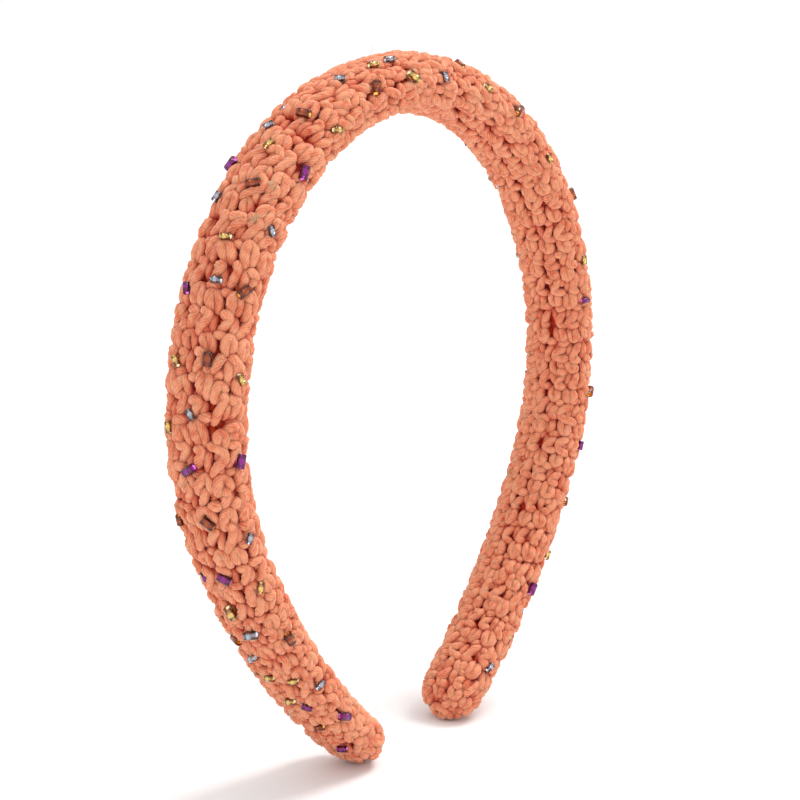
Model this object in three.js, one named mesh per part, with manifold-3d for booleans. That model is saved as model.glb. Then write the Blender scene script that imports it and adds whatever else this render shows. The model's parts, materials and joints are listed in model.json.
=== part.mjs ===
// A padded hair headband: a springy plastic hoop, a foam pad on its outer side, a crocheted cotton
// cover sewn shut along the inner side, and small glass tube beads on the outer faces of the cover.
//
// Millimetres. +Z points up to the crown, X runs from leg to leg, and the front of the band faces -Y.
// The origin is the middle of the crown's inner face, where the band rests on a head.

import * as THREE from 'three';
import { mergeVertices } from 'three/addons/utils/BufferGeometryUtils.js';
import Module from 'manifold-3d';

const wasm = await Module();
wasm.setup();

// Hoop centreline: one arc over the crown, then a flatter arc down each leg.
const CROWN_RADIUS = 68;
const CROWN_SWEEP = 118; // degrees, from the middle of the crown to where a leg begins
const LEG_RADIUS = 172;
const LEG_LENGTH = 71;

// Cover section: its width runs front to back, and its depth is measured from the centreline.
const CROWN_WIDTH = 16.6;
const TIP_WIDTH = 14.2;
const CROWN_OUTWARD = 6.5;
const TIP_OUTWARD = 4.4;
const INWARD = 4.9;
const TAPER_POWER = 1.7; // above 1, so most of the taper is near the tips
const TIP_ROUNDING = 8;
const COVER_WALL = 1.9;
const COVER_END_WALL = 3;
const CAVITY_ROUNDING = 4;

// Inside the cover.
const FIT_GAP = 0.3;
const HOOP_SIDE_ROOM = 0.7; // between the hoop's edge and the cover, where the cover is narrowest
const HOOP_THICKNESS = 1.4;

// The seam runs along the inner face, over the hoop's back edge, and stops short of the tips.
const SEAM_YARN_RADIUS = 0.8;
const SEAM_END_MARGIN = 13;

// How square a section is: 2 is an ellipse, and higher is closer to a rectangle.
const SOFT_SECTION = 2.35;
const SQUARE_SECTION = 6;

// Facets. Every long piece takes the same steps along the hoop, so neighbours stay parallel.
const STEPS_ALONG = 64;
const COVER_SIDES = 16;
const CAVITY_SIDES = 12;
const HOOP_SIDES = 8;
const SEAM_YARN_SIDES = 6;
const BEAD_SIDES = 8;
const MERGE_DISTANCE = 1e-4;

// Beads are cut glass tubes in two sizes, resting on the cover.
const BEAD_SIZES = {
  large: { radius: 1.0, bore: 0.5, length: 3.0 },
  small: { radius: 0.8, bore: 0.4, length: 2.3 },
};
const BEAD_GLASS = {
  silver: { color: 0x8d93a3, roughness: 0.15, metalness: 0.2 },
  gold: { color: 0xc9a85a, roughness: 0.15, metalness: 0.2 },
  amber: { color: 0x7a3d12, roughness: 0.15, metalness: 0.2 },
  purple: { color: 0x7c2a84, roughness: 0.15, metalness: 0.2 },
};

// Each bead: glass, size, percent of the way from the crown to a tip (negative on the -X leg),
// angle round the section (0 faces outwards, 90 faces the front), and turn (0 lies along the hoop).
const BEADS = [
  ['gold', 'small', -7.5, 25, 20],
  ['silver', 'small', -5, 26, 20],
  ['silver', 'small', -12, 17, 60],
  ['amber', 'large', -10, 66, 135],
  ['amber', 'large', -18.5, 23, 85],
  ['gold', 'small', -17.5, 80, 35],
  ['silver', 'small', -20.5, -12, 50],
  ['gold', 'small', -23, 8, 20],
  ['purple', 'large', -24, 80, 160],
  ['purple', 'large', -25, -44, 60],
  ['amber', 'large', -27.5, 20, 65],
  ['silver', 'small', -29, -30, 20],
  ['gold', 'small', -33, 14, 80],
  ['silver', 'small', -31, 78, 135],
  ['silver', 'small', -37, 20, 90],
  ['purple', 'small', -38, -24, 150],
  ['amber', 'large', -37.5, 66, 40],
  ['gold', 'small', -44.5, -18, 140],
  ['amber', 'large', -44, 30, 0],
  ['gold', 'small', -45.5, 88, 150],
  ['silver', 'small', -49, 9, 150],
  ['gold', 'small', -50.5, -32, 160],
  ['purple', 'large', -54, 4, 60],
  ['purple', 'large', -53.5, 88, 20],
  ['amber', 'small', -59.5, -38, 10],
  ['amber', 'large', -59, 20, 130],
  ['silver', 'small', -61.5, 82, 40],
  ['purple', 'large', -65, 19, 125],
  ['gold', 'small', -67, 71, 30],
  ['gold', 'large', -69.5, 3, 170],
  ['silver', 'large', -72.5, 18, 80],
  ['amber', 'large', -74.5, 77, 0],
  ['silver', 'small', -76.5, -5, 60],
  ['gold', 'small', -79.5, 2, 80],
  ['gold', 'small', -80, 41, 100],
  ['silver', 'small', -82.5, 80, 90],
  ['gold', 'small', -83.5, 9, 80],
  ['purple', 'small', -84.5, 32, 130],
  ['purple', 'large', -88.5, 79, 150],
  ['amber', 'small', -88.5, 24, 80],
  ['purple', 'small', -93.5, 26, 100],
  ['gold', 'large', -4, 71, 50],
  ['silver', 'small', 1.5, 76, 80],
  ['amber', 'small', 5.5, 42, 80],
  ['gold', 'small', 9.5, 74, 20],
  ['amber', 'large', 16, 76, 130],
  ['gold', 'small', 24.5, 85, 20],
  ['amber', 'large', 32, 48, 15],
  ['gold', 'small', 39.5, 85, 10],
  ['purple', 'small', 44.5, 96, 100],
  ['amber', 'large', 56, 68, 60],
  ['purple', 'small', 62.5, 62, 0],
  ['amber', 'small', 69.5, 62, 40],
  ['gold', 'small', 76.5, 62, 10],
  ['purple', 'large', 81.5, 85, 0],
  ['silver', 'small', 93, 103, 20],
];

const crownSweep = THREE.MathUtils.degToRad(CROWN_SWEEP);
const crownLength = CROWN_RADIUS * crownSweep;
const hoopHalfLength = crownLength + LEG_LENGTH;

function centrelineAt(along) {
  // The point on the centreline and the outward direction there, on either leg.
  const side = along < 0 ? -1 : 1;
  const distance = Math.abs(along);
  let radius = CROWN_RADIUS;
  let turn = distance / CROWN_RADIUS;
  let x = 0;
  let z = INWARD - CROWN_RADIUS;
  if (distance > crownLength) {
    radius = LEG_RADIUS;
    turn = crownSweep + (distance - crownLength) / LEG_RADIUS;
    x += (CROWN_RADIUS - LEG_RADIUS) * Math.sin(crownSweep);
    z += (CROWN_RADIUS - LEG_RADIUS) * Math.cos(crownSweep);
  }
  const outward = new THREE.Vector3(side * Math.sin(turn), 0, Math.cos(turn));
  const point = new THREE.Vector3(side * (x + radius * Math.sin(turn)), 0, z + radius * Math.cos(turn));
  return { point, outward };
}

function coverSection(along) {
  const taper = (Math.abs(along) / hoopHalfLength) ** TAPER_POWER;
  return {
    halfWidth: THREE.MathUtils.lerp(CROWN_WIDTH, TIP_WIDTH, taper) / 2,
    outward: THREE.MathUtils.lerp(CROWN_OUTWARD, TIP_OUTWARD, taper),
    inward: INWARD,
  };
}

function roundPower(value, squareness) {
  return Math.sign(value) * Math.abs(value) ** (2 / squareness);
}

function sectionPoint(section, angle, outerSquareness, innerSquareness) {
  // x is the way towards the front, and y the way outwards.
  const outer = Math.cos(angle) > 0;
  const squareness = outer ? outerSquareness : innerSquareness;
  const reach = outer ? section.outward : section.inward;
  const forward = section.halfWidth * roundPower(Math.sin(angle), squareness);
  const outward = reach * roundPower(Math.cos(angle), squareness);
  return new THREE.Vector2(forward, outward);
}

function placeOnHoop(along, forward, outward) {
  const { point, outward: direction } = centrelineAt(along);
  return point.addScaledVector(direction, outward).setY(-forward);
}

function roundEnd(distanceToTip, rounding) {
  // A quarter ellipse: nothing at the tip, and the full size from one rounding away.
  const depth = THREE.MathUtils.clamp(1 - distanceToTip / rounding, 0, 1);
  return Math.sqrt(1 - depth * depth);
}

function bandSolid(halfLength, sides, middle, pointAt) {
  // A sphere's poles become the two tips and its meridians the long edges, whose points crowd
  // near the tips, where the ends need their roundness. The section stands around middle.
  const geometry = new THREE.SphereGeometry(1, sides, STEPS_ALONG);
  const corners = geometry.attributes.position;
  const quarterTurn = Math.PI / 2;
  const facet = (4 * quarterTurn) / sides;
  for (let index = 0; index < corners.count; index += 1) {
    const corner = new THREE.Vector3().fromBufferAttribute(corners, index);
    const along = halfLength * corner.y;
    const point = new THREE.Vector2();
    if (Math.abs(corner.y) < 1) {
      const meridian = Math.round((Math.atan2(corner.x, corner.z) + quarterTurn) / facet);
      point.copy(pointAt(along, meridian * facet - quarterTurn, halfLength - Math.abs(along)));
    }
    const place = placeOnHoop(along, middle.x + point.x, middle.y + point.y);
    corners.setXYZ(index, place.x, place.y, place.z);
  }
  return closedGeometry(geometry);
}

function closedGeometry(geometry) {
  geometry.deleteAttribute('normal');
  geometry.deleteAttribute('uv');
  return mergeVertices(geometry, MERGE_DISTANCE);
}

function toSolid(geometry) {
  const mesh = new wasm.Mesh({
    numProp: 3,
    vertProperties: new Float32Array(geometry.attributes.position.array),
    triVerts: new Uint32Array(geometry.index.array),
  });
  return new wasm.Manifold(mesh);
}

function toGeometry(solid) {
  const mesh = solid.getMesh();
  const geometry = new THREE.BufferGeometry();
  geometry.setAttribute('position', new THREE.BufferAttribute(mesh.vertProperties, 3));
  geometry.setIndex(new THREE.BufferAttribute(mesh.triVerts, 1));
  return geometry;
}

function smoothBand(halfLength, sides, sectionAt, innerSquareness, rounding) {
  // A band around the centreline, with a domed end at each tip.
  return bandSolid(halfLength, sides, new THREE.Vector2(), (along, angle, distanceToTip) => {
    const point = sectionPoint(sectionAt(along), angle, SOFT_SECTION, innerSquareness);
    return point.multiplyScalar(roundEnd(distanceToTip, rounding));
  });
}

function insetSection(along, inset) {
  const cover = coverSection(along);
  return {
    halfWidth: cover.halfWidth - inset,
    outward: cover.outward - inset,
    inward: cover.inward - inset,
  };
}

const hoopHalfWidth = TIP_WIDTH / 2 - COVER_WALL - HOOP_SIDE_ROOM;
const hoopInnerFace = COVER_WALL + FIT_GAP - INWARD;
const hoopOuterFace = hoopInnerFace + HOOP_THICKNESS;
const padInnerFace = hoopOuterFace + FIT_GAP;
const cavityHalfLength = hoopHalfLength - COVER_END_WALL;
const padHalfLength = cavityHalfLength - 2 * FIT_GAP; // its domed end sits low in the hollow's end
const stripHalfLength = cavityHalfLength - CAVITY_ROUNDING;

function hoopGeometry() {
  // A flat strip that lies on the head's side of the pad, with half-round ends and an even thickness.
  const section = { halfWidth: hoopHalfWidth, outward: HOOP_THICKNESS / 2, inward: HOOP_THICKNESS / 2 };
  const middle = new THREE.Vector2(0, (hoopInnerFace + hoopOuterFace) / 2);
  return bandSolid(stripHalfLength, HOOP_SIDES, middle, (along, angle, distanceToTip) => {
    const point = sectionPoint(section, angle, SQUARE_SECTION, SQUARE_SECTION);
    return point.setX(point.x * roundEnd(distanceToTip, hoopHalfWidth));
  });
}

function padGeometry() {
  // Domed on the outer side, and flat where it lies on the hoop.
  const middle = new THREE.Vector2(0, padInnerFace);
  return bandSolid(padHalfLength, CAVITY_SIDES, middle, (along, angle, distanceToTip) => {
    const section = insetSection(along, COVER_WALL + FIT_GAP);
    section.outward -= padInnerFace;
    section.inward = 0;
    const point = sectionPoint(section, angle, SOFT_SECTION, SQUARE_SECTION);
    return point.multiplyScalar(roundEnd(distanceToTip, CAVITY_ROUNDING));
  });
}

function coverGeometry() {
  const cavitySection = (along) => insetSection(along, COVER_WALL);
  const outside = smoothBand(hoopHalfLength, COVER_SIDES, coverSection, SOFT_SECTION, TIP_ROUNDING);
  const cavity = smoothBand(cavityHalfLength, CAVITY_SIDES, cavitySection, SQUARE_SECTION, CAVITY_ROUNDING);
  const sleeve = toSolid(outside).subtract(toSolid(cavity));
  return toGeometry(sleeve.subtract(toSolid(seamSlitGeometry())));
}

const seamHalfLength = hoopHalfLength - SEAM_END_MARGIN;
const seamMiddle = new THREE.Vector2(SEAM_YARN_RADIUS - hoopHalfWidth, SEAM_YARN_RADIUS - INWARD);

function seamSlitGeometry() {
  // A square-cornered bar that cuts the inner wall right through, from outside into the hollow.
  const slitHalfWidth = SEAM_YARN_RADIUS + FIT_GAP;
  const slitHalfHeight = SEAM_YARN_RADIUS + COVER_WALL;
  const sides = 4;
  return bandSolid(seamHalfLength + FIT_GAP, sides, seamMiddle, (along, angle) => {
    const corner = angle + Math.PI / sides;
    const forward = slitHalfWidth * Math.sign(Math.sin(corner));
    return new THREE.Vector2(forward, slitHalfHeight * Math.sign(Math.cos(corner)));
  });
}

function seamYarnGeometry() {
  return bandSolid(seamHalfLength, SEAM_YARN_SIDES, seamMiddle, (along, angle) => {
    const point = new THREE.Vector2(Math.sin(angle), Math.cos(angle));
    return point.multiplyScalar(SEAM_YARN_RADIUS);
  });
}

function beadGeometry(size) {
  // A short tube: the profile runs round the glass between bore and outside, and closes on itself.
  const { radius, bore, length } = size;
  const profile = [
    new THREE.Vector2(bore, -length / 2),
    new THREE.Vector2(radius, -length / 2),
    new THREE.Vector2(radius, length / 2),
    new THREE.Vector2(bore, length / 2),
    new THREE.Vector2(bore, -length / 2),
  ];
  return closedGeometry(new THREE.LatheGeometry(profile, BEAD_SIDES));
}

function coverSurfaceAt(along, angle) {
  const { x: forward, y: outward } = sectionPoint(coverSection(along), angle, SOFT_SECTION, SOFT_SECTION);
  return placeOnHoop(along, forward, outward);
}

function seatBead(mesh, size, percentAlong, around, turn) {
  // Rests the bead on the cover, FIT_GAP clear, with its axis turned from the hoop's length.
  const along = (hoopHalfLength * percentAlong) / 100;
  const angle = THREE.MathUtils.degToRad(around);
  const step = 0.01; // small enough to take the surface's slope from
  const seat = coverSurfaceAt(along, angle);
  const lengthways = coverSurfaceAt(along + step, angle).sub(seat).normalize();
  const sideways = coverSurfaceAt(along, angle + step).sub(seat).normalize();
  const normal = new THREE.Vector3().crossVectors(sideways, lengthways).normalize();
  const axis = lengthways.clone().applyAxisAngle(normal, -THREE.MathUtils.degToRad(turn));
  const across = new THREE.Vector3().crossVectors(axis, normal);
  mesh.quaternion.setFromRotationMatrix(new THREE.Matrix4().makeBasis(across, axis, normal));
  mesh.position.copy(seat).addScaledVector(normal, size.radius + FIT_GAP);
}

function namedMesh(name, geometry, finish) {
  const mesh = new THREE.Mesh(geometry, new THREE.MeshStandardMaterial(finish));
  mesh.name = name;
  return mesh;
}

function beadMeshes() {
  const geometries = {};
  for (const [name, size] of Object.entries(BEAD_SIZES)) {
    geometries[name] = beadGeometry(size);
  }
  const counts = {};
  return BEADS.map(([glass, sizeName, percentAlong, around, turn]) => {
    counts[glass] = (counts[glass] ?? 0) + 1;
    const number = String(counts[glass]).padStart(2, '0');
    const mesh = namedMesh(`${glass}_bead_${number}`, geometries[sizeName], BEAD_GLASS[glass]);
    seatBead(mesh, BEAD_SIZES[sizeName], percentAlong, around, turn);
    return mesh;
  });
}

const headband = new THREE.Group();
headband.add(
  namedMesh('spring_hoop', hoopGeometry(), { color: 0xe9e4dc, roughness: 0.4, metalness: 0 }),
  namedMesh('foam_pad', padGeometry(), { color: 0xf3efe6, roughness: 0.95, metalness: 0 }),
  namedMesh('crochet_cover', coverGeometry(), { color: 0xdb8969, roughness: 0.9, metalness: 0 }),
  namedMesh('seam_yarn', seamYarnGeometry(), { color: 0xdb8969, roughness: 0.9, metalness: 0 }),
  ...beadMeshes(),
);

export default headband;
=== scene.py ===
"""A padded hair headband: crocheted cotton over foam and a springy hoop, with glass tube beads."""

import json
import math

import bmesh
import bpy
import numpy as np
from mathutils import Matrix, Vector

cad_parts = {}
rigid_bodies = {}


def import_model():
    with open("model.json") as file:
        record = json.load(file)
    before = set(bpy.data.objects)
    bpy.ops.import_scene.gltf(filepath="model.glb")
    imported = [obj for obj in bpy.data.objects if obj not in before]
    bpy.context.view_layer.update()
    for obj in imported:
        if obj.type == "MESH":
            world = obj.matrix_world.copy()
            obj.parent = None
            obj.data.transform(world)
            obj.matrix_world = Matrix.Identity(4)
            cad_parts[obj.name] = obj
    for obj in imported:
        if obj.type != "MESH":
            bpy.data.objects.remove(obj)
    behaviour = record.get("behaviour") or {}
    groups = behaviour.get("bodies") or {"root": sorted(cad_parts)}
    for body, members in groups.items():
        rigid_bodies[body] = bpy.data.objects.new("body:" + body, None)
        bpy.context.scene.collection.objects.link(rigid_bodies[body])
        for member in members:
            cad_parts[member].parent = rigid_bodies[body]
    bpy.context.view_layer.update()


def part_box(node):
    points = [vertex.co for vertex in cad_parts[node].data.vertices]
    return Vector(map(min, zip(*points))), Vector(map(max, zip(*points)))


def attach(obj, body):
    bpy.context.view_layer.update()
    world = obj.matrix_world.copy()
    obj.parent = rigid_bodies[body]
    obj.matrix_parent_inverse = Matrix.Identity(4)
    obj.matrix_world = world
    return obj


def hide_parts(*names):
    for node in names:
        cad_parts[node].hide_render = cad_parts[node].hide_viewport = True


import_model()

MM = 0.001

# The hoop's centreline, in millimetres: an arc over the crown, then a flatter arc down each leg.
CROWN_RADIUS = 68.0
CROWN_SWEEP = math.radians(118)
LEG_RADIUS = 172.0
LEG_LENGTH = 71.0
CROWN_LENGTH = CROWN_RADIUS * CROWN_SWEEP
HALF_LENGTH = CROWN_LENGTH + LEG_LENGTH

# The cover's section round the centreline: its smooth solid, and how far the stitches stand above it.
CROWN_WIDTH, TIP_WIDTH = 16.6, 14.2
CROWN_OUTWARD, TIP_OUTWARD = 6.5, 4.4
INWARD = 4.9
TAPER_POWER = 1.7
TIP_ROUNDING = 8.0
SECTION_SQUARENESS = 2.35
STITCH_STAND = 0.9

# Crochet: rows run round the section from the seam and back to it.
YARN_DIAMETER = 2.3
ROWS = 98
STITCHES_ROUND = 11
THINNEST, THICKENING = 0.82, 0.18  # the yarn's fullness, from the fewest stitches round to the most
SEAM_ANGLE = math.radians(-152)  # on the inner face, towards the back edge
DRAWN_IN = 1.4  # left open round each tip's pole, where the last stitches are drawn together
REACH = HALF_LENGTH - TIP_ROUNDING + TIP_ROUNDING * math.pi / 2 - DRAWN_IN
ROW_PITCH = 2 * REACH / ROWS
PLIES = 7
PLY_GROOVE = 0.88  # the radius between two plies, as a share of the yarn's
TWIST_LENGTH = 9.0  # of yarn for one full turn of its plies
FABRIC_MIDDLE = -2.0  # lift of the fabric's middle, below the stitches' tops
NEAR_DEPTH, FAR_DEPTH = 1.1, 0.9  # from there to the stitches' two faces
HIGHEST, DEEPEST = -0.6, -2.9  # lifts that the yarn's centre keeps within
# How uneven the stitches are. Place, width and slant are in stitch widths, and a wave runs along
# each row, in row heights, and starts a little further on in the next one.
LEAD = 0.38  # of a near stitch's width, from its edge to its middle
PLACE_SPREAD, WIDTH_SPREAD, SLANT_SPREAD = 0.07, 0.12, 0.14
WAVE, WAVE_SHIFT = 0.12, 0.9
HEIGHT_SPREAD, RISE_SPREAD, POINT_RISE_SPREAD = 0.08, 0.08, 0.05
DEPTH_SPREAD, LIFT_SPREAD = 0.16, 0.18
FULL_SPREAD, POINT_FULL_SPREAD = 0.05, 0.04
# Places along a tip, and how much lower the stitches are pulled there; the pole bulges instead.
SNUG_TIP = ((HALF_LENGTH - 12, HALF_LENGTH - 4, REACH + DRAWN_IN), (0, 0.25, -0.45))
KNOT_SPACING = 1.22  # between the points that the yarn is bent at
SQUEEZE = 0.76  # how near two full strands' centres come, in yarn diameters
SETTLING_STEPS = 60
PUSH, SMOOTHING, HOME_PULL = 0.45, 0.10, 0.04  # shares of the way that a point moves in each step
SEARCH_EVERY, SEARCH_REACH = 20, 1.15  # steps, and yarn diameters
ROW_SMOOTHNESS, SEAM_SMOOTHNESS = 2, 3  # steps from one bend to the next
RUN_ON = 2  # points by which each row's mesh runs on into the next
COVER_PARTS = 10
END_TURNS, END_RADIUS, END_LIFT = 2, 2.6, 0.3  # of the drawn-in yarn at each tip
WHIP_PITCH, WHIP_REACH = 4.6, 2.6  # along the seam, and each side of it, where the needle goes in
WHIP_POINTS = 8  # for each turn of the seam's yarn
WHIP_GIRTH = 50.0
WHIP_LIFT, WHIP_RISE, WHIP_DIP = -1.7, 1.05, 1.5  # its middle, and how far it goes over and under
WHIP_SLANT = 0.25  # of its pitch
WHIP_UNEVENNESS = 0.003
FIBRES = 2400
FIBRE_RADIUS, FIBRE_LENGTH = 0.025, 1.8
OUTSIDE_DEPTH = 0.5  # fibres stand on what is less deep than this
OUTSIDE_POINTS = 220000  # about how many of the cover's points are on its outside

# The sleeve under the stitches is a sheet of painted shade.
SHADE_SLEEVE_LIFT = -2.4  # of the sleeve under the stitches

# Colours, as sRGB. The cotton's second colour is its darker tone and also painted shade in the grooves
# between the plies, and its third is painted shade down in the holes.
COTTON_LIGHT, COTTON_DEEP, COTTON_HOLE_SHADE = "#E79E7A", "#C03E1A", "#BE2A06"
FIBRE_COLOURS = "#F59A72", "#FFC2A0"
# The sleeve's two colours are painted shade of the cover's inner strands, seen down in the holes.
HOLE_SHADE_COLOURS = "#A82C08", "#C03A12"
FOAM_COLOUR, PLASTIC_COLOUR = "#D8C9B4", "#C9C4BC"
AROUND = "Y"  # the yarn's texture coordinate that goes round it
STRANDS = 10  # fine strands seen round the yarn
GLASS_TINTS = {
    "silver": ("#C4C8D2", "#DCDEE4"),
    "gold": ("#E4CC8C", "#F6ECC4"),
    "amber": ("#A0622C", "#F4BC68"),
    "purple": ("#9C2E94", "#E080DC"),
}

# Glass beads: radius and length, and how far the lined bore and the rims go.
BEAD_SIZES = {"large": (1.0, 3.0), "small": (0.8, 2.3)}
BORE_SHARE = 0.6
BEAD_SIDES = 20
RIM_SHARE = 0.14
# Beads besides the CAD's ones, sunk among the stitches: glass, size, mm along the hoop, degrees
# round it, and turn. The first ones are on the edge of the outer face, and the last five are on the
# outer face of the shoulder over the far leg.
SUNK_STAND, STREWN_STAND = -0.7, 0.1
MORE_BEADS = [
    ("silver", "small", -14, -10, 20), ("silver", "small", -36, -20, 60),
    ("purple", "small", -139, -30, 10), ("gold", "small", -151, -35, 40),
    ("amber", "large", -158, -35, 80), ("silver", "small", -170, -35, 30),
    ("amber", "small", -187, -30, 60), ("amber", "small", 7, 5, 70),
    ("silver", "small", 24, 30, 10), ("silver", "small", 44, 30, 50),
    ("gold", "small", 108, 60, 20), ("silver", "small", 178, 60, 40),
    ("gold", "small", 186, 75, 10), ("silver", "small", 57, -140, 30),
    ("gold", "small", 32, -22, 30), ("purple", "small", 39, -42, 70), ("amber", "large", 46, -12, 50),
    ("silver", "small", 53, -36, 15), ("gold", "large", 60, -6, 80),
]

# On the back and the far leg's outer face beads are strewn at random: how many, and from and to
# where, in mm along the hoop and degrees round it.
STREWN = [(12, (-200, -72), (-125, -84)), (12, (-72, 72), (-108, -92)), (14, (72, 200), (-92, -64)),
          (15, (72, 200), (-45, 30))]
STREWN_GAP = 7.5  # at least, from one bead to the next

# Light: an even white room, one broad soft source from above and a narrow one beside the camera.
AMBIENT = 1.01
KEY, KEY_FROM, KEY_BREADTH = 2.0, (0.5, -0.2, 0.9), math.radians(26)
STRIP, STRIP_PLACE, STRIP_SIZE = 0.15, (-0.62, -0.42, 0.25), (0.05, 0.7)
STRIP_AIM = (0, 0, -0.07)
PAPER = (0.86, 0.86, 0.86, 1)

# The camera: where it looks from round and above the band, how far off, and at which point.
AZIMUTH, ELEVATION = math.radians(-53.3), math.radians(10.56)
DISTANCE, LENS = 0.4443, 85.3
AIM_HEIGHT, AIM_LEFT = -0.0677, 0.00098


def srgb(hex_colour):
    channels = [int(hex_colour[i:i + 2], 16) / 255 for i in (1, 3, 5)]
    linear = [c / 12.92 if c <= 0.04045 else ((c + 0.055) / 1.055) ** 2.4 for c in channels]
    return (*linear, 1.0)


def centreline(along):
    """Points on the centreline and outward directions, for distances from the crown in mm."""
    side = np.where(along < 0, -1.0, 1.0)
    distance = np.abs(along)
    on_leg = distance > CROWN_LENGTH
    turn = np.where(on_leg, CROWN_SWEEP + (distance - CROWN_LENGTH) / LEG_RADIUS, distance / CROWN_RADIUS)
    radius = np.where(on_leg, LEG_RADIUS, CROWN_RADIUS)
    shift = np.where(on_leg, CROWN_RADIUS - LEG_RADIUS, 0.0)
    x = shift * math.sin(CROWN_SWEEP) + radius * np.sin(turn)
    z = shift * math.cos(CROWN_SWEEP) + radius * np.cos(turn) + INWARD - CROWN_RADIUS
    zero = np.zeros_like(x)
    return np.stack([side * x, zero, z], -1), np.stack([side * np.sin(turn), zero, np.cos(turn)], -1)


def section(along, angle, stand):
    """Points of the cover's section: angle 0 faces outwards and a quarter turn faces the front."""
    dome_start = HALF_LENGTH - TIP_ROUNDING
    side = np.where(along < 0, -1.0, 1.0)
    over = np.clip((np.abs(along) - dome_start) / TIP_ROUNDING, 0, math.pi / 2)
    shrink = np.cos(over)
    on_line = side * (np.minimum(np.abs(along), dome_start) + TIP_ROUNDING * np.sin(over))
    taper = (np.abs(on_line) / HALF_LENGTH) ** TAPER_POWER
    half_width = (CROWN_WIDTH + (TIP_WIDTH - CROWN_WIDTH) * taper) / 2 + stand
    outward = CROWN_OUTWARD + (TIP_OUTWARD - CROWN_OUTWARD) * taper + stand
    cosine, sine = np.cos(angle), np.sin(angle)
    power = 2 / SECTION_SQUARENESS
    reach = np.where(cosine > 0, outward, INWARD + stand)
    up = shrink * reach * np.sign(cosine) * np.abs(cosine) ** power
    forward = shrink * half_width * np.sign(sine) * np.abs(sine) ** power
    points, direction = centreline(on_line)
    points = points + direction * up[..., None]
    points[..., 1] -= forward
    return points


def girth_table(along):
    """How far round the section each angle lies, from the seam, as a share of the girth."""
    angle = np.linspace(SEAM_ANGLE, SEAM_ANGLE + 2 * math.pi, 361)
    ring = section(np.full_like(angle, along), angle, STITCH_STAND)
    length = np.concatenate([[0], np.cumsum(np.linalg.norm(np.diff(ring, axis=0), axis=1))])
    share = length / length[-1]
    turn = 2 * math.pi
    return (np.concatenate([angle[:-1] - turn, angle[:-1], angle + turn]),
            np.concatenate([share[:-1] - 1, share[:-1], share + 1]))


CROWN_GIRTH = girth_table(0.0)
TIP_GIRTH = girth_table(HALF_LENGTH - 2 * TIP_ROUNDING)


def on_cover(share, along, lift):
    """Points lift mm above the stitches' tops, a share of the way round from the seam, and normals."""
    taper = np.clip(np.abs(along) / HALF_LENGTH, 0, 1) ** TAPER_POWER
    crown_angle = np.interp(share, CROWN_GIRTH[1], CROWN_GIRTH[0])
    tip_angle = np.interp(share, TIP_GIRTH[1], TIP_GIRTH[0])
    angle = crown_angle + (tip_angle - crown_angle) * taper
    step = 0.02
    along_edge = section(along + step, angle, STITCH_STAND) - section(along - step, angle, STITCH_STAND)
    round_edge = section(along, angle + step, STITCH_STAND) - section(along, angle - step, STITCH_STAND)
    normal = np.cross(round_edge, along_edge)
    normal /= np.linalg.norm(normal, axis=-1, keepdims=True) + 1e-9
    return section(along, angle, STITCH_STAND) + normal * lift[..., None], normal


# One single crochet: x in stitch widths, y in row heights and z in half fabric depths (the near face
# is +1), and how full the yarn is there, as it is pulled thin in the holes and bulges where it's free.
# It comes down behind to the hole, makes the loop that stands up in front, goes back through the
# hole and up behind, then makes the loop that lies along the top and that the next row holds.
SINGLE_CROCHET = np.array([
    (-0.86, 0.86, -0.8, 0.85), (-0.56, 0.52, -1.25, 1.0), (-0.20, 0.05, -1.0, 0.82),
    (-0.06, -0.25, 0.1, 0.60), (-0.14, -0.02, 1.0, 0.85), (-0.30, 0.40, 1.35, 1.05),
    (-0.40, 0.86, 1.1, 1.0), (-0.06, 1.12, 0.4, 0.75), (0.22, 0.84, 0.75, 0.88),
    (0.22, 0.38, 0.85, 0.92), (0.14, -0.04, 0.7, 0.80), (0.05, -0.25, 0.1, 0.60),
    (0.10, 0.02, -0.7, 0.72), (0.24, 0.36, -0.8, 0.9), (0.10, 0.72, -0.6, 0.8),
    (0.08, 0.92, 0.0, 0.65), (0.32, 1.06, 0.95, 0.95), (0.72, 1.00, 1.1, 1.0),
    (1.0, 0.96, 0.0, 0.65), (0.74, 0.96, -1.2, 1.0), (0.34, 1.02, -1.25, 1.0),
])


def row_base(row):
    return -REACH + row * ROW_PITCH


def stitches_in(row):
    """Fewer stitches go round near a tip, where the cover is drawn in."""
    middle = abs(row_base(row) + ROW_PITCH / 2)
    over = max(0.0, middle - (HALF_LENGTH - TIP_ROUNDING)) / TIP_ROUNDING
    return max(4, round(STITCHES_ROUND * math.cos(min(over, math.pi / 2))))


def row_of_stitches(row, chance):
    """One row's yarn: share round the girth, distance along the hoop, lift and fullness."""
    near = row % 2 == 0
    count = stitches_in(row)
    places = []
    for stitch in range(count) if near else reversed(range(count)):
        x, y, z, full = SINGLE_CROCHET.T
        middle = stitch + (LEAD if near else 1 - LEAD) + chance.normal(0, PLACE_SPREAD)
        x = x * chance.normal(1, WIDTH_SPREAD) + y * chance.normal(0, SLANT_SPREAD)
        x = middle + (x if near else -x)
        wave = WAVE * math.sin(2 * math.pi * middle / count + row * WAVE_SHIFT)
        y = y * chance.normal(1, HEIGHT_SPREAD) + wave + chance.normal(0, RISE_SPREAD)
        y = y + chance.normal(0, POINT_RISE_SPREAD, len(y))
        face = (z if near else -z) * chance.normal(1, DEPTH_SPREAD)
        lift = FABRIC_MIDDLE + np.where(face > 0, face * NEAR_DEPTH, face * FAR_DEPTH)
        lift = lift + chance.normal(0, LIFT_SPREAD, len(y))
        full = full * (THINNEST + THICKENING * count / STITCHES_ROUND) * chance.normal(1, FULL_SPREAD)
        full = full + chance.normal(0, POINT_FULL_SPREAD, len(y))
        places.append(np.stack([x / count, row_base(row) + y * ROW_PITCH, lift, full], -1))
    return np.concatenate(places)


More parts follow.
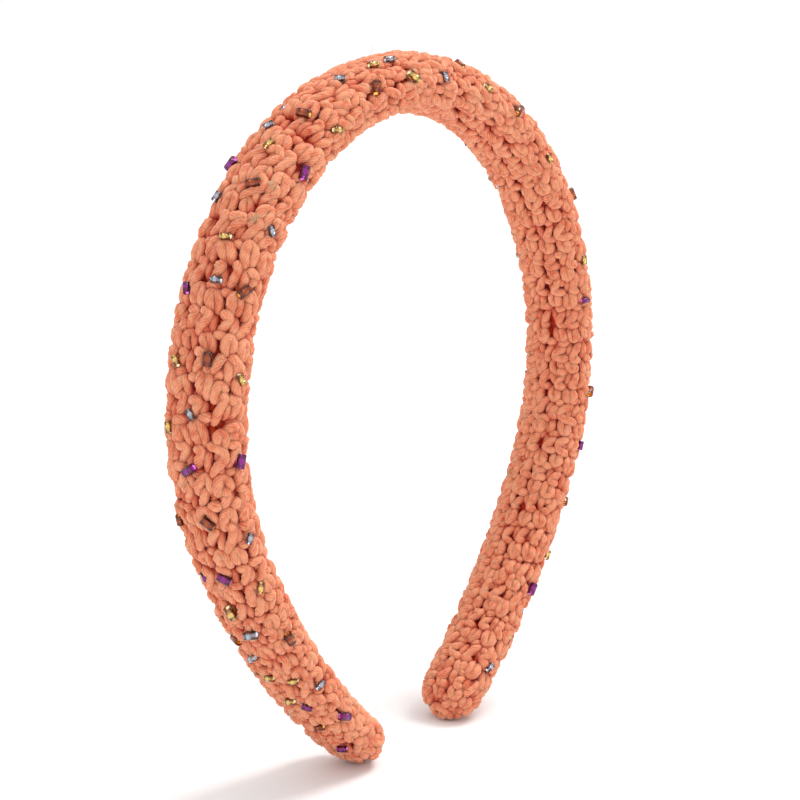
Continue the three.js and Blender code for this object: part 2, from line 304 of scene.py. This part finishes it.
def spaced(places):
    """The same path with a point every KNOT_SPACING, as places on the cover."""
    points = on_cover(*places.T[:3])[0]
    length = np.concatenate([[0], np.cumsum(np.linalg.norm(np.diff(points, axis=0), axis=1))])
    at = np.linspace(0, length[-1], max(2, int(length[-1] / KNOT_SPACING)))
    return np.stack([np.interp(at, length, column) for column in places.T], -1)


def near_pairs(points, reach, strand_gap):
    """Pairs of points nearer than reach that aren't close neighbours on one strand."""
    cell = np.floor((points - points.min(0)) / reach).astype(np.int64) + 1
    size = cell.max(0) + 2
    key = (cell[:, 0] * size[1] + cell[:, 1]) * size[2] + cell[:, 2]
    order = np.argsort(key)
    ordered = key[order]
    steps = [(i * size[1] + j) * size[2] + k for i in (-1, 0, 1) for j in (-1, 0, 1) for k in (-1, 0, 1)]
    ones, twos = [], []
    for step in steps:
        first = np.searchsorted(ordered, key + step, "left")
        many = np.searchsorted(ordered, key + step, "right") - first
        one = np.repeat(np.arange(len(points)), many)
        within = np.arange(many.sum()) - np.repeat(np.cumsum(many) - many, many)
        two = order[np.repeat(first, many) + within]
        kept = two > one + strand_gap
        kept[kept] = ((points[one[kept]] - points[two[kept]]) ** 2).sum(1) < reach ** 2
        ones.append(one[kept])
        twos.append(two[kept])
    return np.concatenate(ones), np.concatenate(twos)


def settle(points, normal, lift, highest, fullness, starts, obstacles):
    """Pulls the yarn snug and moves strands apart until they only press on each other.

    Obstacles are points that stay where they are, with the room that each needs round it."""
    home = points.copy()
    count = len(points)
    every = np.concatenate([points, obstacles[:, :3]])
    room = np.concatenate([fullness * SQUEEZE * YARN_DIAMETER / 2, obstacles[:, 3]])
    loose = np.ones(len(every))
    loose[count:] = 0
    ends = np.zeros(count, bool)
    ends[starts] = True
    ends[np.array(starts[1:] + [count]) - 1] = True
    for step in range(SETTLING_STEPS):
        if step % SEARCH_EVERY == 0:
            one, two = near_pairs(every, SEARCH_REACH * YARN_DIAMETER, 3)
            kept = loose[one] + loose[two] > 0
            one, two = one[kept], two[kept]
            share_one = loose[one] / (loose[one] + loose[two])
        gap = every[two] - every[one]
        distance = np.linalg.norm(gap, axis=1) + 1e-6
        push = np.clip(room[one] + room[two] - distance, 0, None) / distance * PUSH
        for axis in range(3):
            move = push * gap[:, axis]
            every[:, axis] -= np.bincount(one, move * share_one, len(every))
            every[:, axis] += np.bincount(two, move * (1 - share_one), len(every))
        strand = every[:count]
        middle = (np.roll(strand, 1, 0) + np.roll(strand, -1, 0)) / 2
        strand += np.where(ends[:, None], 0, (middle - strand) * SMOOTHING)
        strand += (home - strand) * HOME_PULL
        height = lift + ((strand - home) * normal).sum(1)
        strand += normal * (np.clip(height, DEEPEST, highest) - height)[:, None]
    return every[:count]


def drawn_in_end(side, chance):
    """The end of the yarn, wound round a tip's pole and pulled tight."""
    turns = np.linspace(0, END_TURNS, END_TURNS * 10)
    radius = END_RADIUS * (1 - turns / END_TURNS) + YARN_DIAMETER * 0.3
    lift = HIGHEST + END_LIFT + chance.normal(0, 0.1, len(turns))
    return np.stack([turns - END_TURNS / 4, side * (REACH + DRAWN_IN - radius), lift,
                     np.full(len(turns), 0.95)], -1)


def crochet(chance, beads):
    """The cover's yarn, row by row and then the seam, after it has settled round the beads: its
    points and its fullness. Each row runs on into the next one's first points."""
    runs = [spaced(row_of_stitches(row, chance)) for row in range(ROWS)]
    runs += [spaced(drawn_in_end(-1, chance)), spaced(drawn_in_end(1, chance))]
    runs.append(spaced(whip_stitches(chance)))
    places = np.concatenate(runs)
    ends = np.cumsum([len(run) for run in runs])
    starts = [0, *(int(end) for end in ends[:-1])]
    points, normal = on_cover(*places.T[:3])
    snug = np.interp(np.abs(places[:, 1]), *SNUG_TIP)
    points = settle(points, normal, places[:, 2], HIGHEST - snug, places[:, 3], starts, beads)
    yarn = np.concatenate([points, places[:, 3:]], 1)
    pieces = [yarn[start:end + RUN_ON * (number < ROWS - 1)]
              for number, (start, end) in enumerate(zip(starts, ends))]
    return [pieces[ROWS], *pieces[:ROWS], pieces[ROWS + 1]], pieces[-1]


def whip_stitches(chance):
    """The seam: one yarn that goes over the two edges and under again, all the way along."""
    turns = int(2 * (HALF_LENGTH - TIP_ROUNDING) / WHIP_PITCH)
    angle = np.arange(turns * WHIP_POINTS) * 2 * math.pi / WHIP_POINTS
    along = (np.arange(len(angle)) / WHIP_POINTS - turns / 2) * WHIP_PITCH
    share = WHIP_REACH * np.sin(angle) / WHIP_GIRTH + chance.normal(0, WHIP_UNEVENNESS, len(angle))
    lift = WHIP_LIFT + np.cos(angle) * np.where(np.cos(angle) > 0, WHIP_RISE, WHIP_DIP)
    slant = np.sin(angle) * WHIP_SLANT * WHIP_PITCH
    full = 0.9 + 0.12 * np.cos(angle)
    return np.stack([share, along + slant, lift, full], -1)


def depth_in_cover(points):
    """How deep points are under the stitches' tops, in mm, measured from the centreline outwards."""
    side, middle, up = np.abs(points[:, 0]), points[:, 1], points[:, 2] - INWARD + CROWN_RADIUS
    crown_turn = np.arctan2(side, up)
    leg_side = side - (CROWN_RADIUS - LEG_RADIUS) * math.sin(CROWN_SWEEP)
    leg_up = up - (CROWN_RADIUS - LEG_RADIUS) * math.cos(CROWN_SWEEP)
    leg_turn = np.arctan2(leg_side, leg_up)
    on_leg = crown_turn > CROWN_SWEEP
    along = np.where(on_leg, CROWN_LENGTH + (leg_turn - CROWN_SWEEP) * LEG_RADIUS, crown_turn * CROWN_RADIUS)
    out = np.where(on_leg, np.hypot(leg_side, leg_up) - LEG_RADIUS, np.hypot(side, up) - CROWN_RADIUS)
    taper = np.clip(along / HALF_LENGTH, 0, 1) ** TAPER_POWER
    half_width = (CROWN_WIDTH + (TIP_WIDTH - CROWN_WIDTH) * taper) / 2 + STITCH_STAND
    reach = CROWN_OUTWARD + (TIP_OUTWARD - CROWN_OUTWARD) * taper + STITCH_STAND
    reach = np.where(out > 0, reach, INWARD + STITCH_STAND)
    past = np.clip((along - HALF_LENGTH + TIP_ROUNDING) / (TIP_ROUNDING + STITCH_STAND), 0, 0.995)
    power = SECTION_SQUARENESS
    share = ((np.abs(out) / reach) ** power + (np.abs(middle) / half_width) ** power) ** (1 / power)
    share = np.sqrt(share ** 2 + past ** 2)
    return (1 - share) * np.minimum(reach, half_width)


def points_of(piece):
    """A mesh's points, in mm."""
    points = np.empty(len(piece.data.vertices) * 3, np.float32)
    piece.data.vertices.foreach_get("co", points)
    return points.reshape(-1, 3) / MM


def mark_depth(piece):
    """Gives each point of a piece its depth, for painted shade down in the holes."""
    depth = depth_in_cover(points_of(piece))
    piece.data.attributes.new("depth", "FLOAT", "POINT").data.foreach_set("value", depth.astype(np.float32))


def yarn_section(name):
    """The yarn's section: round, with a shallow groove between its plies."""
    curve = bpy.data.curves.new(name, "CURVE")
    curve.dimensions = "2D"
    spline = curve.splines.new("POLY")
    count = PLIES * 2
    spline.points.add(count - 1)
    for index, point in enumerate(spline.points):
        angle = 2 * math.pi * index / count
        radius = YARN_DIAMETER / 2 * (1.0 if index % 2 == 0 else PLY_GROOVE) * MM
        point.co = (radius * math.cos(angle), radius * math.sin(angle), 0, 1)
    spline.use_cyclic_u = True
    return bpy.data.objects.new(name, curve)


def mesh_from_curve(name, curve):
    """A mesh object in place of a curve."""
    rope = bpy.data.objects.new(name + "_rope", curve)
    bpy.context.collection.objects.link(rope)
    bpy.context.view_layer.update()
    mesh = bpy.data.meshes.new_from_object(rope.evaluated_get(bpy.context.evaluated_depsgraph_get()))
    mesh.name = name
    bpy.data.objects.remove(rope)
    piece = bpy.data.objects.new(name, mesh)
    bpy.context.collection.objects.link(piece)
    return piece


def spin_yarn(name, runs, smoothness):
    """A mesh of twisted yarn along each run of points, which are in mm, each with its fullness."""
    profile = yarn_section(name + "_section")
    curve = bpy.data.curves.new(name, "CURVE")
    curve.dimensions = "3D"
    curve.bevel_mode = "OBJECT"
    curve.bevel_object = profile
    curve.use_fill_caps = True
    curve.resolution_u = smoothness
    curve.twist_mode = "MINIMUM"
    for run in runs:
        points = run[:, :3]
        spline = curve.splines.new("BEZIER")
        spline.bezier_points.add(len(points) - 1)
        spline.bezier_points.foreach_set("co", (points * MM).astype(np.float32).ravel())
        spline.bezier_points.foreach_set("radius", run[:, 3].astype(np.float32))
        length = np.concatenate([[0], np.cumsum(np.linalg.norm(np.diff(points, axis=0), axis=1))])
        twist = 2 * math.pi * (length - length[-1] / 2) / TWIST_LENGTH
        spline.bezier_points.foreach_set("tilt", twist.astype(np.float32))
        for knot in spline.bezier_points:
            knot.handle_left_type = knot.handle_right_type = "AUTO"
    bpy.context.collection.objects.link(profile)
    piece = mesh_from_curve(name, curve)
    bpy.data.objects.remove(profile)
    piece.data.polygons.foreach_set("use_smooth", [True] * len(piece.data.polygons))
    return piece


def stray_fibres(pieces, chance):
    """The nap: short loose fibres that stand off the outsides of the strands."""
    curve = bpy.data.curves.new("stray_fibres", "CURVE")
    curve.dimensions = "3D"
    curve.bevel_depth = FIBRE_RADIUS * MM
    curve.bevel_resolution = 0
    for piece in pieces:
        points = points_of(piece)
        outside = np.flatnonzero(depth_in_cover(points) < OUTSIDE_DEPTH)
        for start in chance.choice(outside, int(FIBRES * len(outside) / OUTSIDE_POINTS)):
            normal = np.array(piece.data.vertices[int(start)].normal)
            heading = normal * chance.uniform(0.1, 0.6) + chance.normal(0, 0.6, 3)
            bend = chance.normal(0, 0.5, 3) - normal * 0.3
            step = np.arange(4)[:, None] / 3
            length = chance.uniform(0.5, FIBRE_LENGTH)
            path = points[start] + length * (heading * step + bend * step ** 2)
            spline = curve.splines.new("POLY")
            spline.points.add(3)
            spline.points.foreach_set("co", np.concatenate([path * MM, np.ones((4, 1))], 1).ravel())
    return mesh_from_curve("stray_fibres", curve)


def cover_and_seam(chance, beads):
    """The whole cover in several pieces, so that none is too heavy, and the seam."""
    rows, seam = crochet(chance, beads)
    pieces = []
    for part in range(COVER_PARTS):
        some = rows[len(rows) * part // COVER_PARTS:len(rows) * (part + 1) // COVER_PARTS]
        pieces.append(spin_yarn(f"crochet_rows_{part + 1}", some, ROW_SMOOTHNESS))
    half = len(seam) // 2
    return pieces, spin_yarn("whip_stitched_seam", [seam[:half + 1], seam[half:]], SEAM_SMOOTHNESS)


def node(tree, kind, inputs=(), **settings):
    """Adds a node, sets its properties and input values, and joins inputs given as (node, output)."""
    made = tree.nodes.new("ShaderNode" + kind)
    for key, value in settings.items():
        setattr(made, key, value)
    for name, value in dict(inputs).items():
        if isinstance(value, tuple) and isinstance(value[0], bpy.types.Node):
            tree.links.new(value[0].outputs[value[1]], made.inputs[name])
        else:
            made.inputs[name].default_value = value
    return made


def new_material(name, **inputs):
    """A material whose shader sockets hold the given constant values."""
    material = bpy.data.materials.new(name)
    material.use_nodes = True
    shader = material.node_tree.nodes["Principled BSDF"]
    for key, value in inputs.items():
        shader.inputs[key.replace("_", " ")].default_value = value
    return material, material.node_tree, shader


def cotton_yarn():
    """Combed cotton: matt, warm coral, with painted shade in the grooves between the plies and down
    in the holes between the strands, a soft nap and some light carried through the fibres."""
    material, tree, shader = new_material("combed_cotton_yarn", Roughness=0.85, Sheen_Weight=0.25,
                                          Sheen_Roughness=0.35, IOR=1.45, Specular_IOR_Level=0.25,
                                          Subsurface_Weight=0.45, Subsurface_Scale=MM,
                                          Subsurface_Radius=(1.2, 0.35, 0.18))
    uv = node(tree, "UVMap", uv_map="UVMap")
    across = node(tree, "SeparateXYZ", {"Vector": (uv, "UV")})
    place = node(tree, "TexCoord")
    cloud = node(tree, "TexNoise", {"Vector": (place, "Object"), "Scale": 1 / (5 * MM), "Detail": 2.0})
    stray = node(tree, "TexNoise", {"Vector": (place, "Object"), "Scale": 1 / (1.3 * MM), "Detail": 3.0})
    fibre = node(tree, "TexNoise", {"Vector": (place, "Object"), "Scale": 1 / (0.22 * MM), "Detail": 3.0})
    wander = node(tree, "Math", {0: (stray, "Fac"), 1: 2.4}, operation="MULTIPLY")
    strand = node(tree, "Math", {0: (across, AROUND), 1: STRANDS * 2 * math.pi, 2: (wander, "Value")},
                  operation="MULTIPLY_ADD")
    ridge = node(tree, "Math", {0: (strand, "Value")}, operation="COSINE")
    height = node(tree, "MapRange", {"Value": (ridge, "Value"), "From Min": -1.0, "From Max": 0.5,
                                    "To Max": 0.3})
    # Painted shade: the ply ridge's height darkens the colour in the grooves between the plies; the noises
    # are the cotton's own uneven tone.
    mottle_and_groove_shade = node(tree, "Math", {0: (cloud, "Fac"), 1: 0.7, 2: (height, "Result")}, operation="MULTIPLY_ADD")
    tone_and_groove_shade = node(tree, "Math", {0: (stray, "Fac"), 1: 1.4, 2: (mottle_and_groove_shade, "Value")}, operation="MULTIPLY_ADD")
    shade = node(tree, "MapRange", {"Value": (tone_and_groove_shade, "Value"), "From Min": 0.55, "From Max": 1.45})
    colour = node(tree, "Mix", {"Factor": (shade, "Result"), "A": srgb(COTTON_DEEP),
                                "B": srgb(COTTON_LIGHT)}, data_type="RGBA")
    # Painted shade: the deeper a point lies in the holes, the more its colour turns to the third, darker
    # cotton colour.
    depth = node(tree, "Attribute", attribute_name="depth")
    hole_shade_share = node(tree, "MapRange", {"Value": (depth, "Fac"), "From Min": 0.1, "From Max": 1.7})
    shaded_in_holes = node(tree, "Mix", {"Factor": (hole_shade_share, "Result"), "A": (colour, "Result"),
                                  "B": srgb(COTTON_HOLE_SHADE)}, data_type="RGBA")
    relief = node(tree, "Math", {0: (fibre, "Fac"), 1: 0.6, 2: (height, "Result")},
                  operation="MULTIPLY_ADD")
    bump = node(tree, "Bump", {"Height": (relief, "Value"), "Strength": 0.7, "Distance": 0.15 * MM})
    tree.links.new(shaded_in_holes.outputs["Result"], shader.inputs["Base Color"])
    tree.links.new(bump.outputs["Normal"], shader.inputs["Normal"])
    return material


def loose_cotton():
    """Single cotton fibres: pale, thin enough for light to pass through them."""
    material, tree, shader = new_material("loose_cotton_fibre", Roughness=0.7, Alpha=0.7)
    place = node(tree, "TexCoord")
    cloud = node(tree, "TexNoise", {"Vector": (place, "Object"), "Scale": 1 / (2 * MM)})
    colour = node(tree, "Mix", {"Factor": (cloud, "Fac"), "A": srgb(FIBRE_COLOURS[0]),
                                "B": srgb(FIBRE_COLOURS[1])},
                  data_type="RGBA")
    tree.links.new(colour.outputs["Result"], shader.inputs["Base Color"])
    return material


def bead_glass(name, tint):
    """Coloured glass: clear, glossy and smooth, so the lined bore shows through it as bright stripes."""
    return new_material(name, Base_Color=srgb(tint), Transmission_Weight=1.0, Roughness=0.04, IOR=1.5)[0]


def silver_lining(name, tint):
    """The bore's metal lining, a mirror tinted by the glass in front of it."""
    return new_material(name, Base_Color=srgb(tint), Metallic=1.0, Roughness=0.18)[0]


def foam():
    material, tree, shader = new_material("upholstery_foam", Base_Color=srgb(FOAM_COLOUR), Roughness=0.9)
    place = node(tree, "TexCoord")
    cells = node(tree, "TexNoise", {"Vector": (place, "Object"), "Scale": 1 / (0.8 * MM)})
    bump = node(tree, "Bump", {"Height": (cells, "Fac"), "Strength": 0.5, "Distance": 0.2 * MM})
    tree.links.new(bump.outputs["Normal"], shader.inputs["Normal"])
    return material


def spring_plastic():
    """The hoop's smooth moulded plastic: a soft gloss on a slightly warm grey."""
    material, tree, shader = new_material("moulded_plastic", Base_Color=srgb(PLASTIC_COLOUR), Roughness=0.38)
    place = node(tree, "TexCoord")
    grain = node(tree, "TexNoise", {"Vector": (place, "Object"), "Scale": 1 / (1.5 * MM)})
    bump = node(tree, "Bump", {"Height": (grain, "Fac"), "Strength": 0.1, "Distance": 0.02 * MM})
    tree.links.new(bump.outputs["Normal"], shader.inputs["Normal"])
    return material


def lining_cloth():
    """A thin sheet of painted shade under the stitches, seen only as dark coral down in the holes."""
    material, tree, shader = new_material("dyed_lining_cloth", Roughness=0.95)
    place = node(tree, "TexCoord")
    weave = node(tree, "TexNoise", {"Vector": (place, "Object"), "Scale": 1 / (0.5 * MM)})
    colour = node(tree, "Mix", {"Factor": (weave, "Fac"), "A": srgb(HOLE_SHADE_COLOURS[0]),
                                "B": srgb(HOLE_SHADE_COLOURS[1])},
                  data_type="RGBA")
    tree.links.new(colour.outputs["Result"], shader.inputs["Base Color"])
    return material


def lining_sleeve():
    """A sleeve of painted shade under the stitches: a flat sheet wrapped round the section and closed at
    both tips.
    """
    mesh = bmesh.new()
    bmesh.ops.create_grid(mesh, x_segments=200, y_segments=32, size=0.5)
    places = np.array([v.co for v in mesh.verts])
    along = places[:, 0] * 2 * (REACH + DRAWN_IN)
    points, _ = on_cover(places[:, 1] + 0.5, along, np.full_like(along, SHADE_SLEEVE_LIFT))
    for vertex, point in zip(mesh.verts, points):
        vertex.co = point * MM
    bmesh.ops.remove_doubles(mesh, verts=mesh.verts, dist=0.01 * MM)
    bmesh.ops.recalc_face_normals(mesh, faces=mesh.faces)
    return finished("lining_sleeve", mesh)


def finished(name, mesh, smooth=True):
    """An object at the origin made of a finished mesh."""
    for face in mesh.faces:
        face.smooth = smooth
    data = bpy.data.meshes.new(name)
    mesh.to_mesh(data)
    mesh.free()
    piece = bpy.data.objects.new(name, data)
    bpy.context.collection.objects.link(piece)
    return piece


def tube_bead(name, middle, along, half, radius, bore):
    """A cut glass tube with fire-polished rims; its bore's wall is the second material."""
    mesh = bmesh.new()
    corners = [mesh.verts.new((r, 0, z)) for r, z in
               ((bore, -half), (radius, -half), (radius, half), (bore, half))]
    edges = [mesh.edges.new((corners[i], corners[(i + 1) % 4])) for i in range(4)]
    bmesh.ops.spin(mesh, geom=corners + edges, cent=(0, 0, 0), axis=(0, 0, 1), angle=2 * math.pi,
                   steps=BEAD_SIDES, use_duplicate=False)
    bmesh.ops.remove_doubles(mesh, verts=mesh.verts, dist=radius * 0.01)
    bmesh.ops.recalc_face_normals(mesh, faces=mesh.faces)
    for face in mesh.faces:
        face.material_index = int(all(math.hypot(v.co.x, v.co.y) < (bore + radius) / 2 for v in face.verts))
    rims = [e for e in mesh.edges if len({f.normal.to_tuple(1) for f in e.link_faces}) > 1
            and abs(e.verts[0].co.z) > 0.9 * half and abs(e.verts[1].co.z) > 0.9 * half
            and math.hypot(e.verts[0].co.x, e.verts[0].co.y) > 0.9 * radius]
    bmesh.ops.bevel(mesh, geom=rims, offset=radius * RIM_SHARE, segments=3, profile=0.5, affect="EDGES",
                    material=-1)
    turn = Vector(along).to_track_quat("Z", "Y").to_matrix().to_4x4()
    mesh.transform(Matrix.Translation(Vector(middle) * MM) @ turn @ Matrix.Scale(MM, 4))
    return finished(name, mesh)


def bead_axis(name):
    """A CAD bead's middle, its long direction, half its length and its radius, in mm."""
    corners = np.array([v.co for v in bpy.data.objects[name].data.vertices]) / MM
    middle = corners.mean(0)
    along = np.linalg.svd(corners - middle, full_matrices=False)[2][0]
    reach = (corners - middle) @ along
    off_axis = np.linalg.norm(corners - middle - reach[:, None] * along, axis=1)
    return middle, along, reach.max(), off_axis.max()


def place_on_cover(along, degrees, turn, height):
    """A point height above the smooth cover, and the direction of a bead lying there."""
    def spot(s, a):
        return section(np.array([s]), np.array([a]), 0.0)[0]
    angle, small = math.radians(degrees), 0.02
    lengthways = Vector(spot(along + small, angle) - spot(along - small, angle)).normalized()
    sideways = Vector(spot(along, angle + small) - spot(along, angle - small)).normalized()
    normal = sideways.cross(lengthways)
    direction = Matrix.Rotation(-math.radians(turn), 3, normal) @ lengthways
    return np.array(spot(along, angle)) + np.array(normal) * height, np.array(direction)


def all_beads():
    """Name, glass, middle, direction, half length and radius of every bead, the CAD's ones first."""
    beads = []
    for name in sorted(o.name for o in bpy.data.objects if "_bead_" in o.name):
        beads.append((name, name.split("_")[0], *bead_axis(name)))
    for number, (glass, size, along, degrees, turn) in enumerate(MORE_BEADS, 1):
        radius, length = BEAD_SIZES[size]
        middle, direction = place_on_cover(along, degrees, turn, radius + SUNK_STAND)
        beads.append((f"{glass}_bead_more_{number:02d}", glass, middle, direction, length / 2, radius))
    return beads


def strewn_beads(chance, beads):
    """More beads at random, none near another."""
    taken = [bead[2] for bead in beads]
    found = []
    for many, along_range, degree_range in STREWN:
        wanted = len(found) + many
        for _ in range(4000):
            glass = str(chance.choice(list(GLASS_TINTS)))
            radius, length = BEAD_SIZES[str(chance.choice(list(BEAD_SIZES)))]
            middle, direction = place_on_cover(chance.uniform(*along_range), chance.uniform(*degree_range),
                                               chance.uniform(0, 180), radius + STREWN_STAND)
            if len(found) < wanted and min(np.linalg.norm(middle - other) for other in taken) > STREWN_GAP:
                taken.append(middle)
                found.append((f"{glass}_bead_strewn_{len(found) + 1:02d}", glass, middle, direction,
                              length / 2, radius))
    return found


def bead_room(beads):
    """Three points along each bead, with the room that each needs among the strands."""
    return np.array([[*(middle + direction * half * share), radius * 0.95]
                     for _, _, middle, direction, half, radius in beads for share in (-0.7, 0, 0.7)])


def thread_beads(beads, in_cad):
    glasses = {glass: (bead_glass(glass + "_tinted_glass", tint), silver_lining(glass + "_lining", inner_layer))
               for glass, (tint, inner_layer) in GLASS_TINTS.items()}
    for name, glass, middle, direction, half, radius in beads:
        piece = tube_bead(name + "_glass", middle, direction, half, radius, radius * BORE_SHARE)
        for material in glasses[glass]:
            piece.data.materials.append(material)
        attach(piece, "root")
        if name in in_cad:
            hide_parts(name)


def floor():
    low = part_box("crochet_cover")[0][2] - STITCH_STAND * MM
    bpy.ops.mesh.primitive_plane_add(size=80, location=(0, 0, low))
    ground = bpy.context.object
    ground.name = "floor"
    material, _, _ = new_material("white_paper", Base_Color=PAPER, Roughness=0.9)
    ground.data.materials.append(material)


def lights():
    world = bpy.data.worlds.new("studio")
    bpy.context.scene.world = world
    world.use_nodes = True
    world.node_tree.nodes["Background"].inputs["Color"].default_value = (1, 1, 1, 1)
    world.node_tree.nodes["Background"].inputs["Strength"].default_value = AMBIENT
    data = bpy.data.lights.new("softbox", "SUN")
    data.angle = KEY_BREADTH
    data.energy = KEY
    key = bpy.data.objects.new("softbox", data)
    key.rotation_euler = Vector(KEY_FROM).to_track_quat("Z", "Y").to_euler()
    bpy.context.collection.objects.link(key)


def strip_light():
    """A narrow source beside the camera, for the glints along the glass."""
    data = bpy.data.lights.new("strip", "AREA")
    data.shape = "RECTANGLE"
    data.size, data.size_y = STRIP_SIZE
    data.energy = STRIP
    strip = bpy.data.objects.new("strip", data)
    strip.location = STRIP_PLACE
    strip.rotation_euler = (Vector(STRIP_AIM) - strip.location).to_track_quat("-Z", "Y").to_euler()
    bpy.context.collection.objects.link(strip)


def camera():
    back = Vector((math.sin(AZIMUTH) * math.cos(ELEVATION), -math.cos(AZIMUTH) * math.cos(ELEVATION),
                   math.sin(ELEVATION)))
    right = Vector((math.cos(AZIMUTH), math.sin(AZIMUTH), 0))
    target = Vector((0, 0, AIM_HEIGHT)) - right * AIM_LEFT
    data = bpy.data.cameras.new("camera")
    data.sensor_width = 36
    data.lens = LENS
    data.clip_start = 0.01
    eye = bpy.data.objects.new("camera", data)
    eye.location = target + back * DISTANCE
    eye.rotation_euler = back.to_track_quat("Z", "Y").to_euler()
    bpy.context.collection.objects.link(eye)
    bpy.context.scene.camera = eye


chance = np.random.default_rng(7)
camera()
in_cad = {o.name for o in bpy.data.objects}
beads = all_beads()
beads += strewn_beads(chance, beads)
cover, seam = cover_and_seam(chance, bead_room(beads))
yarn = cotton_yarn()
for piece in [*cover, seam]:
    mark_depth(piece)
    piece.data.materials.append(yarn)
    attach(piece, "root")
nap = stray_fibres(cover, chance)
nap.data.materials.append(loose_cotton())
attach(nap, "root")
# A sleeve of painted shade under the stitches.
inner_layer = lining_sleeve()
inner_layer.data.materials.append(lining_cloth())
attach(inner_layer, "root")
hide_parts("crochet_cover")
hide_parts("seam_yarn")
thread_beads(beads, in_cad)
for name, material in (("foam_pad", foam()), ("spring_hoop", spring_plastic())):
    cad = bpy.data.objects[name]
    cad.data.materials.clear()
    cad.data.materials.append(material)
floor()
lights()
strip_light()
bpy.context.scene.view_settings.view_transform = "Standard"
